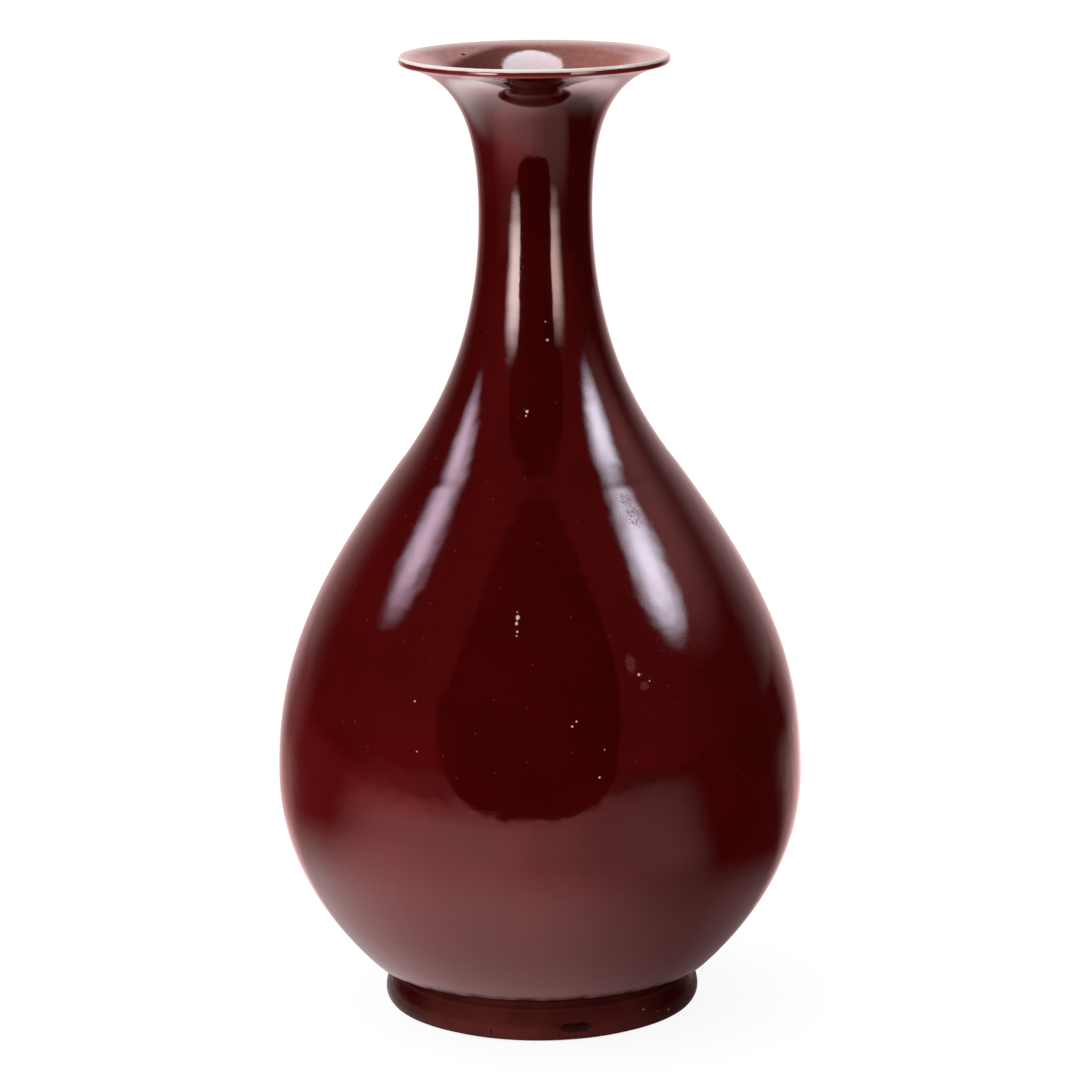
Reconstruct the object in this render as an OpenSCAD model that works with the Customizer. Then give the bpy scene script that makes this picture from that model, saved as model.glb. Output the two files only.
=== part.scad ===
// Pear-shaped porcelain bottle vase (yuhuchunping), thrown in sections, luted with slip and glazed.
// Millimetres, +Z up, origin on the axis at the plane that the foot stands on.
// Every surface follows one outline of the finished vase, so each coat and wall fits its neighbour.

/* [Overall] */
// Height from the standing plane to the top of the lip
height = 300; // [270:1:340]
// Widest diameter of the belly
belly_d = 164.4; // [145:0.2:185]
// Height of the widest part of the belly
belly_z = 75; // [62:1:90]

/* [Foot] */
// Widest diameter of the foot ring
foot_d = 99; // [92:0.5:104]
// Height of the widest part of the foot, which is also how far its toe is rounded
toe_round = 4; // [2.5:0.25:6]
// Diameter across the sharp upper edge of the foot
foot_edge_d = 95; // [92:0.5:98]
// Height of the sharp upper edge of the foot
foot_edge_z = 10.4; // [8:0.2:12]
// Lean of the foot's face at its upper edge, from level
foot_edge_slope = 118; // [95:1:135]
// Diameter at the bottom of the groove between foot and body
groove_d = 92; // [86:0.5:94]
// Height of the groove, where the foot is luted to the base
groove_z = 14; // [12.8:0.2:14.6]
// Inner diameter of the foot ring at the standing plane
foot_inner_d = 80; // [70:0.5:85]
// Inner diameter of the foot ring at the base
foot_recess_d = 76; // [66:0.5:80]
// Chamfer on the inner edge of the standing face
foot_inner_chamfer = 0.8; // [0.4:0.1:1.5]
// How far round the toe the glaze stops, from the standing plane
toe_glaze_angle = 45; // [35:1:60]
// Height at which the glaze stops inside the foot ring
recess_glaze_z = 2.2; // [1.5:0.1:5]

/* [Body outline] */
// Diameter where the belly's curve starts above the foot
body_edge_d = 108.4; // [102:0.2:114]
// Height where the belly's curve starts above the foot
body_edge_z = 15.7; // [15.2:0.1:18]
// Slope of the belly where its curve starts, from level
body_edge_slope = 44.7; // [38:0.1:55]
// Diameter at the straight stretch of the shoulder
shoulder_d = 90; // [75:0.5:105]
// Height of the straight stretch of the shoulder
shoulder_z = 170.6; // [155:0.2:185]
// Slope of the shoulder's straight stretch, past upright
shoulder_slope = 125; // [115:0.5:132]
// Narrowest diameter of the neck
neck_d = 35; // [30:0.5:42]
// Distance of the narrowest part of the neck below the lip
neck_drop = 47.7; // [38:0.1:58]
// Outer diameter of the lip
mouth_d = 82.8; // [70:0.2:96]
// Slope of the underside of the lip, from level
lip_slope = 13; // [5:0.2:25]

/* [Walls] */
// Wall that the lower belly thickens to above the foot, coats included
base_wall = 8; // [7:0.25:10]
// Wall at the widest part of the belly
belly_wall = 5; // [3.5:0.25:7]
// Wall at the shoulder
shoulder_wall = 4.2; // [3:0.2:6]
// Wall at the narrowest part of the neck
neck_wall = 4; // [3:0.2:5.5]
// Thickness of the squared lip
lip_t = 2.6; // [2.2:0.1:3.4]
// Rounding of the upper and lower edges of the lip
lip_round = 0.75; // [0.72:0.01:0.9]
// Thickness of the floor without its coats
floor_t = 5; // [4:0.1:6.5]
// How far up the lower belly the floor's curve starts, as a share
floor_curve = 0.2; // [0.12:0.01:0.35]

/* [Luting] */
// Thickness of the slip in each luted seam
slip_t = 0.6; // [0.3:0.1:1]
// Height of the luted seam of the belly
belly_seam_z = 78; // [70:1:95]
// Height of the luted seam of the neck
neck_seam_z = 204; // [196:1:215]
// How far the wall thickens inside at a luted seam
ridge_rise = 1.2; // [0:0.1:2]
// How far the thickening reaches above and below a seam
ridge_reach = 11; // [8:0.5:16]

/* [Glaze] */
// Thickness of every glaze coat
glaze_t = 0.5; // [0.3:0.05:0.7]
// Width of the pale band down the inside of the lip
lip_band = 4; // [2:0.5:10]
// How far the pale band comes down the outer face of the lip
lip_drop = 1.1; // [0.95:0.05:1.25]

/* [Hidden] */
// Steps in each stretch of the outline
toe_steps = 3;
foot_steps = 4;
cove_steps = 3;
tuck_steps = 5;
belly_steps = 14;
shoulder_steps = 16;
neck_steps = 14;
mouth_steps = 14;
lip_steps = 4;
band_steps = 3;
floor_steps = 8;
// Facets round the axis
round_facets = 120;
// Least distance of an outline point from a cut, so that no sliver is left
cut_margin = 0.2;

// Slopes of the outline where it runs upright, and how far each stretch holds its end slopes,
// as a share of the distance between its two ends
upright = 90;
belly_pulls = [0.395, 0.337];
shoulder_pulls = [0.36, 0.414];
neck_pulls = [0.185, 0.534];
mouth_pulls = [0.6, 0.305];
foot_pulls = [0.35, 0.35];
cove_pulls = [0.4, 0.4];
level_pull = 2 / 3;

// Planes of the luted foot
base_z = groove_z + glaze_t;
foot_top_z = base_z - slip_t;
floor_z = base_z + floor_t + glaze_t;

// Stations of the outline: radius, height and slope of the way up
lip_face = (lip_t - 2 * lip_round) / cos(lip_slope);
lip_top_centre = [mouth_d / 2 - lip_round, height - lip_round];
lip_low_centre = lip_top_centre - [0, lip_face];
toe_centre = [foot_d / 2 - toe_round, toe_round];
toe_top = [foot_d / 2, toe_round, upright];
foot_edge = [foot_edge_d / 2, foot_edge_z, foot_edge_slope];
groove = [groove_d / 2, groove_z];
body_edge = [body_edge_d / 2, body_edge_z, body_edge_slope];
belly = [belly_d / 2, belly_z, upright];
shoulder = [shoulder_d / 2, shoulder_z, shoulder_slope];
throat = [neck_d / 2, height - neck_drop, upright];
lip_start = concat(lip_low_centre + lip_round * heading(lip_slope - upright), [lip_slope]);

// Plane geometry
function heading(angle) = [cos(angle), sin(angle)];
function place(station) = [station[0], station[1]];
function reverse(path) = [for (i = [len(path) - 1:-1:0]) path[i]];
function slice(path, first, last) = [for (i = [first:last]) path[i]];

// Cubic through two places with a handle at each, and the unit vector along it
function cubic(a, b, c, d, t) =
    pow(1 - t, 3) * a + 3 * t * pow(1 - t, 2) * b + 3 * t * t * (1 - t) * c + pow(t, 3) * d;
function cubic_way(a, b, c, d, t) =
    unit(pow(1 - t, 2) * (b - a) + 2 * t * (1 - t) * (c - b) + t * t * (d - c));
function unit(v) = v / norm(v);

// Handles of a stretch from one station to the next
function stretch(from, to, pulls) =
    let (span = norm(place(to) - place(from)))
    [
        place(from),
        place(from) + pulls[0] * span * heading(from[2]),
        place(to) - pulls[1] * span * heading(to[2]),
        place(to)
    ];
function on(s, t) = cubic(s[0], s[1], s[2], s[3], t);
function way_on(s, t) = cubic_way(s[0], s[1], s[2], s[3], t);
function outward(s, t) = let (way = way_on(s, t)) [way.y, -way.x];
function slope_at(s, t) = let (way = way_on(s, t)) atan2(way.y, way.x);

// Stretch that leaves one place level and arrives at a slope, bent where the two lines cross
function level_stretch(from, to, slope, pull) =
    let (bend = [to.x - (to.y - from.y) / tan(slope), from.y])
    [from, from + pull * (bend - from), to + pull * (bend - to), to];

// Wall at a share of a stretch, thicker inside near a luted seam
function swell(x) = abs(x) < 1 ? pow(1 - x * x, 2) : 0;
function ridge(z) =
    ridge_rise * (swell((z - belly_seam_z) / ridge_reach) + swell((z - neck_seam_z) / ridge_reach));
function wall(from, to, t, z) = from + (to - from) * t * t * (3 - 2 * t) + ridge(z);
function inside(s, from, to, t) = let (p = on(s, t)) p - wall(from, to, t, p.y) * outward(s, t);

// Normal of a path's edge, and the shift at one of its points for a coat of unit thickness
function edge_normal(path, i) = let (way = unit(path[i + 1] - path[i])) [way.y, -way.x];
function coat_shift(path, i) =
    i == 0 ? edge_normal(path, 0)
    : i == len(path) - 1 ? [0, 1]
    : let (before = edge_normal(path, i - 1), after = edge_normal(path, i))
        (before + after) / (1 + before * after);

// Path cut at two heights, from the first to the second
function at_height(path, z) = [lookup(z, [for (p = path) [p.y, p.x]]), z];
function cut(path, z_from, z_to) =
    let (low = min(z_from, z_to) + cut_margin, high = max(z_from, z_to) - cut_margin)
    concat([at_height(path, z_from)], [for (p = path) if (p.y > low && p.y < high) p], [at_height(path, z_to)]);

// Stretches of the finished outline
foot_face = stretch(toe_top, foot_edge, foot_pulls);
cove = stretch([foot_edge.x, foot_edge.y, upright + foot_edge_slope / 2], concat(groove, [upright]), cove_pulls);
tuck = level_stretch(groove, place(body_edge), body_edge_slope, level_pull);
lower_belly = stretch(body_edge, belly, belly_pulls);
upper_belly = stretch(belly, shoulder, shoulder_pulls);
lower_neck = stretch(shoulder, throat, neck_pulls);
mouth = stretch(throat, lip_start, mouth_pulls);
bowl_edge = inside(lower_belly, base_wall, belly_wall, floor_curve);
bowl_slope = slope_at(lower_belly, floor_curve);
bowl_floor = level_stretch([0, floor_z], bowl_edge, bowl_slope, level_pull);

// Share of the mouth's stretch at which the pale band inside the lip ends
band_end = 1 - lip_band / norm(mouth[3] - mouth[0]);

// Points round an edge of the lip, by angle from level
function lip_at(centre, angle) = centre + lip_round * heading(angle);

// Finished outline, from where the glaze starts on the toe up to the outer face of the lip
function toe_at(share) = toe_glaze_angle + (upright - toe_glaze_angle) * share;
toe_path = [for (i = [0:toe_steps - 1])
    toe_centre + toe_round * heading(toe_at(i / toe_steps) - upright)];
foot_path = concat(
    toe_path,
    [for (i = [0:foot_steps - 1]) on(foot_face, i / foot_steps)],
    [for (i = [0:cove_steps - 1]) on(cove, i / cove_steps)]);
body_path = concat(
    [for (i = [0:tuck_steps - 1]) on(tuck, i / tuck_steps)],
    [for (i = [0:belly_steps - 1]) on(lower_belly, i / belly_steps)],
    [for (i = [0:shoulder_steps - 1]) on(upper_belly, i / shoulder_steps)],
    [for (i = [0:neck_steps - 1]) on(lower_neck, i / neck_steps)],
    [for (i = [0:mouth_steps - 1]) on(mouth, i / mouth_steps)],
    [for (i = [0:lip_steps]) lip_at(lip_low_centre, (lip_slope - upright) * (1 - i / lip_steps))]);

// Finished outline, from the pale band's edge on the lip over its top and down the inside to the floor
lip_path = concat(
    [[mouth_d / 2, height - lip_drop]],
    [for (i = [0:lip_steps]) lip_at(lip_top_centre, upright * i / lip_steps)],
    [lip_at(lip_top_centre, upright + lip_slope)],
    [for (i = [0:band_steps - 1])
        inside(mouth, neck_wall, lip_t, 1 + (band_end - 1) * i / band_steps)]);
hollow_path = concat(
    [for (i = [mouth_steps:-1:1]) inside(mouth, neck_wall, lip_t, band_end * i / mouth_steps)],
    [for (i = [neck_steps:-1:1]) inside(lower_neck, shoulder_wall, neck_wall, i / neck_steps)],
    [for (i = [shoulder_steps:-1:1]) inside(upper_belly, belly_wall, shoulder_wall, i / shoulder_steps)],
    [for (i = [belly_steps:-1:1])
        inside(lower_belly, base_wall, belly_wall, floor_curve + (1 - floor_curve) * i / belly_steps)],
    [for (i = [floor_steps:-1:0]) on(bowl_floor, i / floor_steps)]);

// The whole finished surface, and the porcelain's surface under its coats.
// At the groove the outline turns from upright to level, which sets the porcelain's corner there
finished = concat(foot_path, body_path, lip_path, hollow_path);
groove_i = len(foot_path);
lip_i = groove_i + len(body_path);
band_i = lip_i + len(lip_path);
last_i = len(finished) - 1;
groove_corner = [groove.x - glaze_t, base_z];
porcelain = [for (i = [0:last_i])
    i == groove_i ? groove_corner : finished[i] - glaze_t * coat_shift(finished, i)];
foot_skin = slice(porcelain, 0, groove_i - 1);
body_skin = slice(porcelain, groove_i, lip_i);
hollow_skin = slice(porcelain, lip_i, last_i);

// Inner face of the foot ring
function recess_r(z) = (foot_inner_d + (foot_recess_d - foot_inner_d) * z / base_z) / 2;

// Section of a body wall between two heights, and of a coat between two points of the finished surface
function wall_section(z_from, z_to) = concat(cut(body_skin, z_from, z_to), cut(hollow_skin, z_to, z_from));
function coat_section(first, last) =
    concat(slice(finished, first, last), reverse(slice(porcelain, first, last)));

module lathe(section) {
    rotate_extrude($fn = round_facets) polygon(section);
}

// Edges of a luted seam
function below(seam_z) = seam_z - slip_t / 2;
function above(seam_z) = seam_z + slip_t / 2;

// Turned foot ring with a bare standing face
module foot_ring() {
    color("gainsboro") lathe(concat(
        [
            [recess_r(foot_inner_chamfer), foot_inner_chamfer],
            [recess_r(0) + foot_inner_chamfer, 0],
            [toe_centre.x, 0]
        ],
        foot_skin,
        [[groove_corner.x, foot_top_z], [recess_r(foot_top_z), foot_top_z]]));
}

// Washer of slip that lutes the foot ring to the base
module foot_slip() {
    color("linen") lathe([
        [recess_r(foot_top_z), foot_top_z],
        [groove_corner.x, foot_top_z],
        groove_corner,
        [recess_r(base_z), base_z]
    ]);
}

// Thrown bowl with the floor, up to the seam at the belly
module lower_body() {
    top_z = below(belly_seam_z);
    color("whitesmoke") lathe(concat(
        [[0, base_z], groove_corner],
        [for (p = body_skin) if (p.y > base_z && p.y < top_z - cut_margin) p],
        [at_height(body_skin, top_z), at_height(hollow_skin, top_z)],
        [for (p = hollow_skin) if (p.y < top_z - cut_margin) p]));
}

// Ring of slip that lutes the two halves of the belly
module belly_slip() {
    color("linen") lathe(wall_section(below(belly_seam_z), above(belly_seam_z)));
}

// Thrown shoulder, from the belly in to the base of the neck
module upper_body() {
    color("whitesmoke") lathe(wall_section(above(belly_seam_z), below(neck_seam_z)));
}

// Ring of slip that lutes the neck to the shoulder
module neck_slip() {
    color("linen") lathe(wall_section(below(neck_seam_z), above(neck_seam_z)));
}

// Thrown neck with the flared mouth and the squared lip
module neck() {
    bottom_z = above(neck_seam_z);
    color("whitesmoke") lathe(concat(
        [at_height(body_skin, bottom_z)],
        [for (p = body_skin) if (p.y > bottom_z + cut_margin) p],
        [for (i = [1:len(hollow_skin) - 1]) if (hollow_skin[i].y > bottom_z + cut_margin) hollow_skin[i]],
        [at_height(hollow_skin, bottom_z)]));
}

// Copper-red coat over the outside, from the toe of the foot to the lip
module outer_glaze() {
    color("darkred") lathe(coat_section(0, lip_i));
}

// Pale coat on the lip, where the red has drained
module lip_glaze() {
    color("seashell") lathe(coat_section(lip_i, band_i));
}

// Coat over the hollow, from the pale band down to the floor
module inner_glaze() {
    color("rosybrown") lathe(coat_section(band_i, last_i));
}

// Coat under the base and down the inner face of the foot ring
module base_glaze() {
    under_z = base_z - glaze_t;
    color("ivory") lathe([
        [0, under_z],
        [recess_r(under_z) - glaze_t, under_z],
        [recess_r(recess_glaze_z) - glaze_t, recess_glaze_z],
        [recess_r(recess_glaze_z), recess_glaze_z],
        [recess_r(base_z), base_z],
        [0, base_z]
    ]);
}

foot_ring();
foot_slip();
lower_body();
belly_slip();
upper_body();
neck_slip();
neck();
outer_glaze();
lip_glaze();
inner_glaze();
base_glaze();
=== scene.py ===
"""Pear-shaped porcelain bottle vase in a glossy copper-red glaze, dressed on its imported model."""
from math import pi, radians, sin, cos

import bpy
import numpy as np
from bpy.props import FloatProperty, FloatVectorProperty, IntProperty, PointerProperty
from mathutils import Matrix, Vector


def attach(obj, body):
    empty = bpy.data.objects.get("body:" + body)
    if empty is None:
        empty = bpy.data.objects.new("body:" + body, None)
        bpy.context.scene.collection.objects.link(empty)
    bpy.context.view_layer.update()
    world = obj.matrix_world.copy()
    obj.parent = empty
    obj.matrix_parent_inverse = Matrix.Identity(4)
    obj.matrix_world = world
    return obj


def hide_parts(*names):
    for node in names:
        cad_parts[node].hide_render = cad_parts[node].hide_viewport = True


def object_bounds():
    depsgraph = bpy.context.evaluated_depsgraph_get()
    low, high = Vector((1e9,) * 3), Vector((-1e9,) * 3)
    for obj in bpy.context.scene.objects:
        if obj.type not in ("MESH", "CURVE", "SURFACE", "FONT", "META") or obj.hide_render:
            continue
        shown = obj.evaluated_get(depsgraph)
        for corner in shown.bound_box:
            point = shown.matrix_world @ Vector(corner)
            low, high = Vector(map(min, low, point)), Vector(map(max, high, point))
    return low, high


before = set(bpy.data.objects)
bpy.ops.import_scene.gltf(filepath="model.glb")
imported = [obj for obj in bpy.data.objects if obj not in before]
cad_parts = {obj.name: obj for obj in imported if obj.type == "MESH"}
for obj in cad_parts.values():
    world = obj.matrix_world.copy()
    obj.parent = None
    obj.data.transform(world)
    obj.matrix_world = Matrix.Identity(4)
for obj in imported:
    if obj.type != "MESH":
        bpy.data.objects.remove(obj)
CAD_BOX = [list(corner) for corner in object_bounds()]
MM = 0.001

bl_info = {
    "name": "Copper-red bottle vase",
    "version": (1, 0, 0),
    "blender": (4, 5, 0),
    "location": "View3D > Sidebar > Vase",
    "description": "Glaze coats, bare porcelain and studio of a pear-shaped bottle vase",
    "category": "Add Mesh",
}


def length(name, description, millimetres):
    """A length property whose default is given in millimetres."""
    return FloatProperty(name=name, description=description, default=millimetres * MM, unit="LENGTH",
                         precision=5)


def tilt(name, description, degrees):
    """An angle property whose default is given in degrees."""
    return FloatProperty(name=name, description=description, default=radians(degrees), subtype="ANGLE")


def level(name, description, value):
    """A property that is a plain number."""
    return FloatProperty(name=name, description=description, default=value)


def colour(name, description, rgb):
    """A linear colour property."""
    return FloatVectorProperty(name=name, description=description, default=rgb, subtype="COLOR", size=3,
                               min=0.0, max=1.0)


class VaseSizes(bpy.types.PropertyGroup):
    """Stations of the vase's outline, as the part's source has them."""
    height: length("Height", "Standing plane to the top of the lip", CAD_BOX[1][2] / MM)
    belly_d: length("Belly", "Widest diameter of the belly", (CAD_BOX[1][0] - CAD_BOX[0][0]) / MM)
    belly_z: length("Belly height", "Height of the widest part of the belly", 75)
    foot_d: length("Foot", "Widest diameter of the foot ring", 99)
    toe_round: length("Toe", "Rounding of the foot's toe", 4)
    foot_edge_d: length("Foot edge", "Diameter across the upper edge of the foot", 95)
    foot_edge_z: length("Foot edge height", "Height of the upper edge of the foot", 10.4)
    groove_d: length("Groove", "Diameter at the bottom of the groove", 92)
    groove_z: length("Groove height", "Height of the groove between foot and body", 14)
    body_edge_d: length("Body edge", "Diameter where the belly's curve starts", 108.4)
    body_edge_z: length("Body edge height", "Height where the belly's curve starts", 15.7)
    shoulder_d: length("Shoulder", "Diameter at the straight stretch of the shoulder", 90)
    shoulder_z: length("Shoulder height", "Height of the straight stretch of the shoulder", 170.6)
    neck_d: length("Neck", "Narrowest diameter of the neck", 35)
    neck_drop: length("Neck drop", "Distance of the narrowest part below the lip", 47.7)
    mouth_d: length("Mouth", "Outer diameter of the lip", 82.8)
    lip_t: length("Lip", "Thickness of the squared lip", 2.6)
    lip_round: length("Lip edges", "Rounding of the two edges of the lip", 0.75)
    lip_drop: length("Lip drop", "How far the pale band comes down the outer face of the lip", 1.1)
    glaze_t: length("Glaze", "Thickness of every glaze coat", 0.5)
    lip_band: length("Pale band", "Width of the pale band down the inside of the lip", 4)
    floor_z: length("Floor", "Height of the inside floor at the axis", 20)
    coat_joint_z: length("Coat joint", "Height at which the coat of the body meets the coat of the neck", 184)
    ridge_z: length("Ridge", "Height of the faint ridge that the wheel left round the shoulder", 172.3)
    wobble: length("Wobble", "Depth of the throwing marks left in the outside", 0.16)
    columns: IntProperty(name="Columns", description="Columns of the coats round the axis", default=384,
                         min=48)


class VaseColours(bpy.types.PropertyGroup):
    """Linear colours of the fired glazes and clays; some of them also paint shade, a highlight and a glint.
    """
    deep_red: colour("Deep red", "Thick copper-red glaze", (0.046, 0.0006, 0.0008))
    warm_red: colour("Warm red", "Copper-red glaze where it clouds", (0.062, 0.0009, 0.0012))
    brown_red: colour("Brown red", "Thin glaze of the foot", (0.080, 0.013, 0.010))
    # Thin glaze, and also a painted highlight along the upper edge of the foot.
    thin_red_and_highlight: colour("Thin red", "Glaze drawn thin along an edge", (0.30, 0.085, 0.070))
    # Pale porcelain in pinholes, partly a painted glint.
    pinhole_and_glint: colour("Pinhole", "Pale porcelain in a pinhole", (0.80, 0.72, 0.70))
    scar: colour("Scar", "Dull scuff in the glaze", (0.20, 0.075, 0.062))
    # Dark drops and cracks of the foot, and also the painted shade along the lower edge of the body.
    dark_drops_and_shade: colour("Foot dark", "Thick drop and cracks in the glaze of the foot", (0.010, 0.0003, 0.0003))
    edge_red: colour("Edge red", "Glaze drawn down from the edge of the lip", (0.15, 0.016, 0.012))
    lip_white: colour("Lip", "Clear glaze over white porcelain on the lip", (0.90, 0.86, 0.81))
    lip_pink: colour("Lip pink", "Thin glaze just inside the lip", (0.80, 0.64, 0.61))
    band_pink: colour("Band pink", "Glaze at the inner edge of the pale band", (0.54, 0.29, 0.28))
    # The split of these two from left to right paints shade on the left of the mouth and light on its right.
    hollow_pink: colour("Hollow pink", "Thin glaze inside the mouth, on the right", (0.43, 0.185, 0.155))
    hollow_painted_shade: colour("Hollow shade", "Thicker glaze inside the mouth, on the left", (0.14, 0.046, 0.042))
    # Brown glaze, and painted shade down inside the neck.
    hollow_brown_and_shade: colour("Hollow brown", "Glaze down the inside of the neck", (0.085, 0.020, 0.018))
    base_ivory: colour("Base", "Clear glaze under the base", (0.76, 0.72, 0.63))
    porcelain: colour("Porcelain", "Bare fired porcelain", (0.78, 0.72, 0.63))
    burnt: colour("Burnt edge", "Porcelain burnt orange beside the glaze", (0.50, 0.27, 0.13))
    slip: colour("Slip", "Fired luting slip", (0.66, 0.60, 0.51))


class VaseStudio(bpy.types.PropertyGroup):
    """Camera, floor and room of the studio."""
    camera_back: length("Camera back", "Distance of the camera in front of the axis", 1369.24)
    camera_up: length("Camera up", "Height of the camera", 453.09)
    camera_pitch: tilt("Pitch", "Downward tilt of the camera", 12.5436)
    camera_roll: tilt("Roll", "Roll of the camera", -0.49)
    camera_yaw: tilt("Yaw", "Turn of the camera about the vertical", -0.0229)
    camera_lens: FloatProperty(name="Lens", description="Focal length on a 36 mm sensor", default=149.952,
                               unit="CAMERA")
    floor_white: colour("Floor", "Plain pale floor", (0.90, 0.90, 0.90))
    room_fill: level("Fill", "Light of the room on matt surfaces", 1.0)
    fill_lean: level("Lean", "How much more of it comes from the left", 0.7)
    backdrop: level("Backdrop", "Pale backdrop behind the vase, in the glaze", 0.75)
    room_dim: level("Dim room", "Rest of the room, in the glaze", 0.27)


def heading(degrees):
    """Unit vector at an angle from level."""
    return np.array([cos(radians(degrees)), sin(radians(degrees))])


def stretch(start, start_slope, end, end_slope, pulls):
    """Four points of a cubic: its handles lie along the two end slopes, each a share of the chord long."""
    start, end = np.asarray(start, float), np.asarray(end, float)
    span = np.linalg.norm(end - start)
    return np.array([start, start + pulls[0] * span * heading(start_slope),
                     end - pulls[1] * span * heading(end_slope), end])


def level_stretch(start, end, slope):
    """Cubic that leaves one point level and reaches another at a slope, bent where the two lines cross."""
    start, end = np.asarray(start, float), np.asarray(end, float)
    bend = np.array([end[0] - (end[1] - start[1]) / np.tan(radians(slope)), start[1]])
    return np.array([start, start + 2 / 3 * (bend - start), end + 2 / 3 * (bend - end), end])


def along(handles, t):
    """Points of a cubic at shares t: the sum of its four points weighted by Bernstein's polynomials."""
    t = np.asarray(t, float)[:, None]
    a, b, c, d = handles
    return (1 - t) ** 3 * a + 3 * t * (1 - t) ** 2 * b + 3 * t * t * (1 - t) * c + t ** 3 * d


def normalised(values):
    """Vectors scaled to a length of one."""
    return values / np.maximum(np.linalg.norm(values, axis=-1, keepdims=True), 1e-12)


def right_of(way):
    """Unit normals of a path: each of its directions turned a quarter to the right."""
    way = normalised(way)
    return np.column_stack([way[:, 1], -way[:, 0]])


def outward(handles, t):
    """Outward unit normals of a cubic at shares t, from its derivative."""
    t = np.asarray(t, float)[:, None]
    a, b, c, d = handles
    return right_of((1 - t) ** 2 * (b - a) + 2 * t * (1 - t) * (c - b) + t * t * (d - c))


def arc(centre, radius, first, last, steps):
    """Points of a circle from one angle to another."""
    angle = np.radians(np.linspace(first, last, steps))
    return np.asarray(centre) + radius * np.column_stack([np.cos(angle), np.sin(angle)])


FOOT_EDGE_SLOPE = 118
BODY_EDGE_SLOPE = 44.7
SHOULDER_SLOPE = 125
LIP_SLOPE = 13
TOE_GLAZE_ANGLE = 45
WALLS = {"base": 8 * MM, "belly": 5 * MM, "shoulder": 4.2 * MM, "neck": 4 * MM}
FLOOR_CURVE = 0.2  # share of the lower belly at which the inside leaves it for the floor
PULLS = {  # shares of a stretch's chord that its first and last handles are long
    "foot": (0.35, 0.35), "cove": (0.4, 0.4), "lower_belly": (0.395, 0.337), "upper_belly": (0.36, 0.414),
    "lower_neck": (0.185, 0.534), "mouth": (0.6, 0.305),
}
OUTER_STEP, LIP_STEP, HOLLOW_STEP = 0.1 * MM, 0.08 * MM, 0.3 * MM  # spacing of the dense paths
FIRED_EDGE = 0.25 * MM  # reach of the softening that firing gives to edges
WALL_WAVES = ((0.34, 2, 41, 0.6), (0.26, 3, -67, 2.1), (0.24, 1, 118, 4.0), (0.16, 5, 93, 1.2))
RIM_WAVES = ((0.4, 23, 0, 1.7), (0.35, 41, 0, 0.4), (0.25, 67, 0, 2.9))


def stretches(s):
    """The cubic stretches of the finished outline, from the foot to the lip."""
    lip_top = np.array([s.mouth_d / 2 - s.lip_round, s.height - s.lip_round])
    lip_low = lip_top - (0, (s.lip_t - 2 * s.lip_round) / cos(radians(LIP_SLOPE)))
    toe_top = (s.foot_d / 2, s.toe_round)
    foot_edge = (s.foot_edge_d / 2, s.foot_edge_z)
    groove = (s.groove_d / 2, s.groove_z)
    body_edge = (s.body_edge_d / 2, s.body_edge_z)
    belly = (s.belly_d / 2, s.belly_z)
    shoulder = (s.shoulder_d / 2, s.shoulder_z)
    throat = (s.neck_d / 2, s.height - s.neck_drop)
    lip_start = lip_low + s.lip_round * heading(LIP_SLOPE - 90)
    return {
        "toe": arc((s.foot_d / 2 - s.toe_round, s.toe_round), s.toe_round, TOE_GLAZE_ANGLE - 90, 0, 40),
        "foot": stretch(toe_top, 90, foot_edge, FOOT_EDGE_SLOPE, PULLS["foot"]),
        "cove": stretch(foot_edge, 90 + FOOT_EDGE_SLOPE / 2, groove, 90, PULLS["cove"]),
        "tuck": level_stretch(groove, body_edge, BODY_EDGE_SLOPE),
        "lower_belly": stretch(body_edge, BODY_EDGE_SLOPE, belly, 90, PULLS["lower_belly"]),
        "upper_belly": stretch(belly, 90, shoulder, SHOULDER_SLOPE, PULLS["upper_belly"]),
        "lower_neck": stretch(shoulder, SHOULDER_SLOPE, throat, 90, PULLS["lower_neck"]),
        "mouth": stretch(throat, 90, lip_start, LIP_SLOPE, PULLS["mouth"]),
        "lip_under": arc(lip_low, s.lip_round, LIP_SLOPE - 90, 0, 24),
        "lip_joint": np.array([[s.mouth_d / 2, s.height - s.lip_drop]]),
        "lip_top": arc(lip_top, s.lip_round, 0, 90 + LIP_SLOPE, 40),
    }


def walked(path):
    """Distance of each point along a path."""
    return np.concatenate([[0], np.cumsum(np.linalg.norm(np.diff(path, axis=0), axis=1))])


def respaced(path, spacing):
    """The path's points again at an even distance along it."""
    walk = walked(path)
    keep = np.concatenate([[True], np.diff(walk) > 1e-9])
    path, walk = path[keep], walk[keep]
    places = np.linspace(0, walk[-1], max(2, int(round(walk[-1] / spacing)) + 1))
    return np.column_stack([np.interp(places, walk, path[:, 0]), np.interp(places, walk, path[:, 1])])


def softened(path, reach, spacing):
    """Evenly spaced path averaged along itself with a bell curve, which rounds its edges; ends stay."""
    count = int(np.ceil(4 * reach / spacing))
    bell = np.exp(-0.5 * (np.arange(-count, count + 1) * spacing / reach) ** 2)
    bell /= bell.sum()
    head = 2 * path[0] - path[count:0:-1]
    tail = 2 * path[-1] - path[-2:-count - 2:-1]
    padded = np.concatenate([head, path, tail])
    return np.column_stack([np.convolve(padded[:, k], bell, "valid") for k in (0, 1)])


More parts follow.
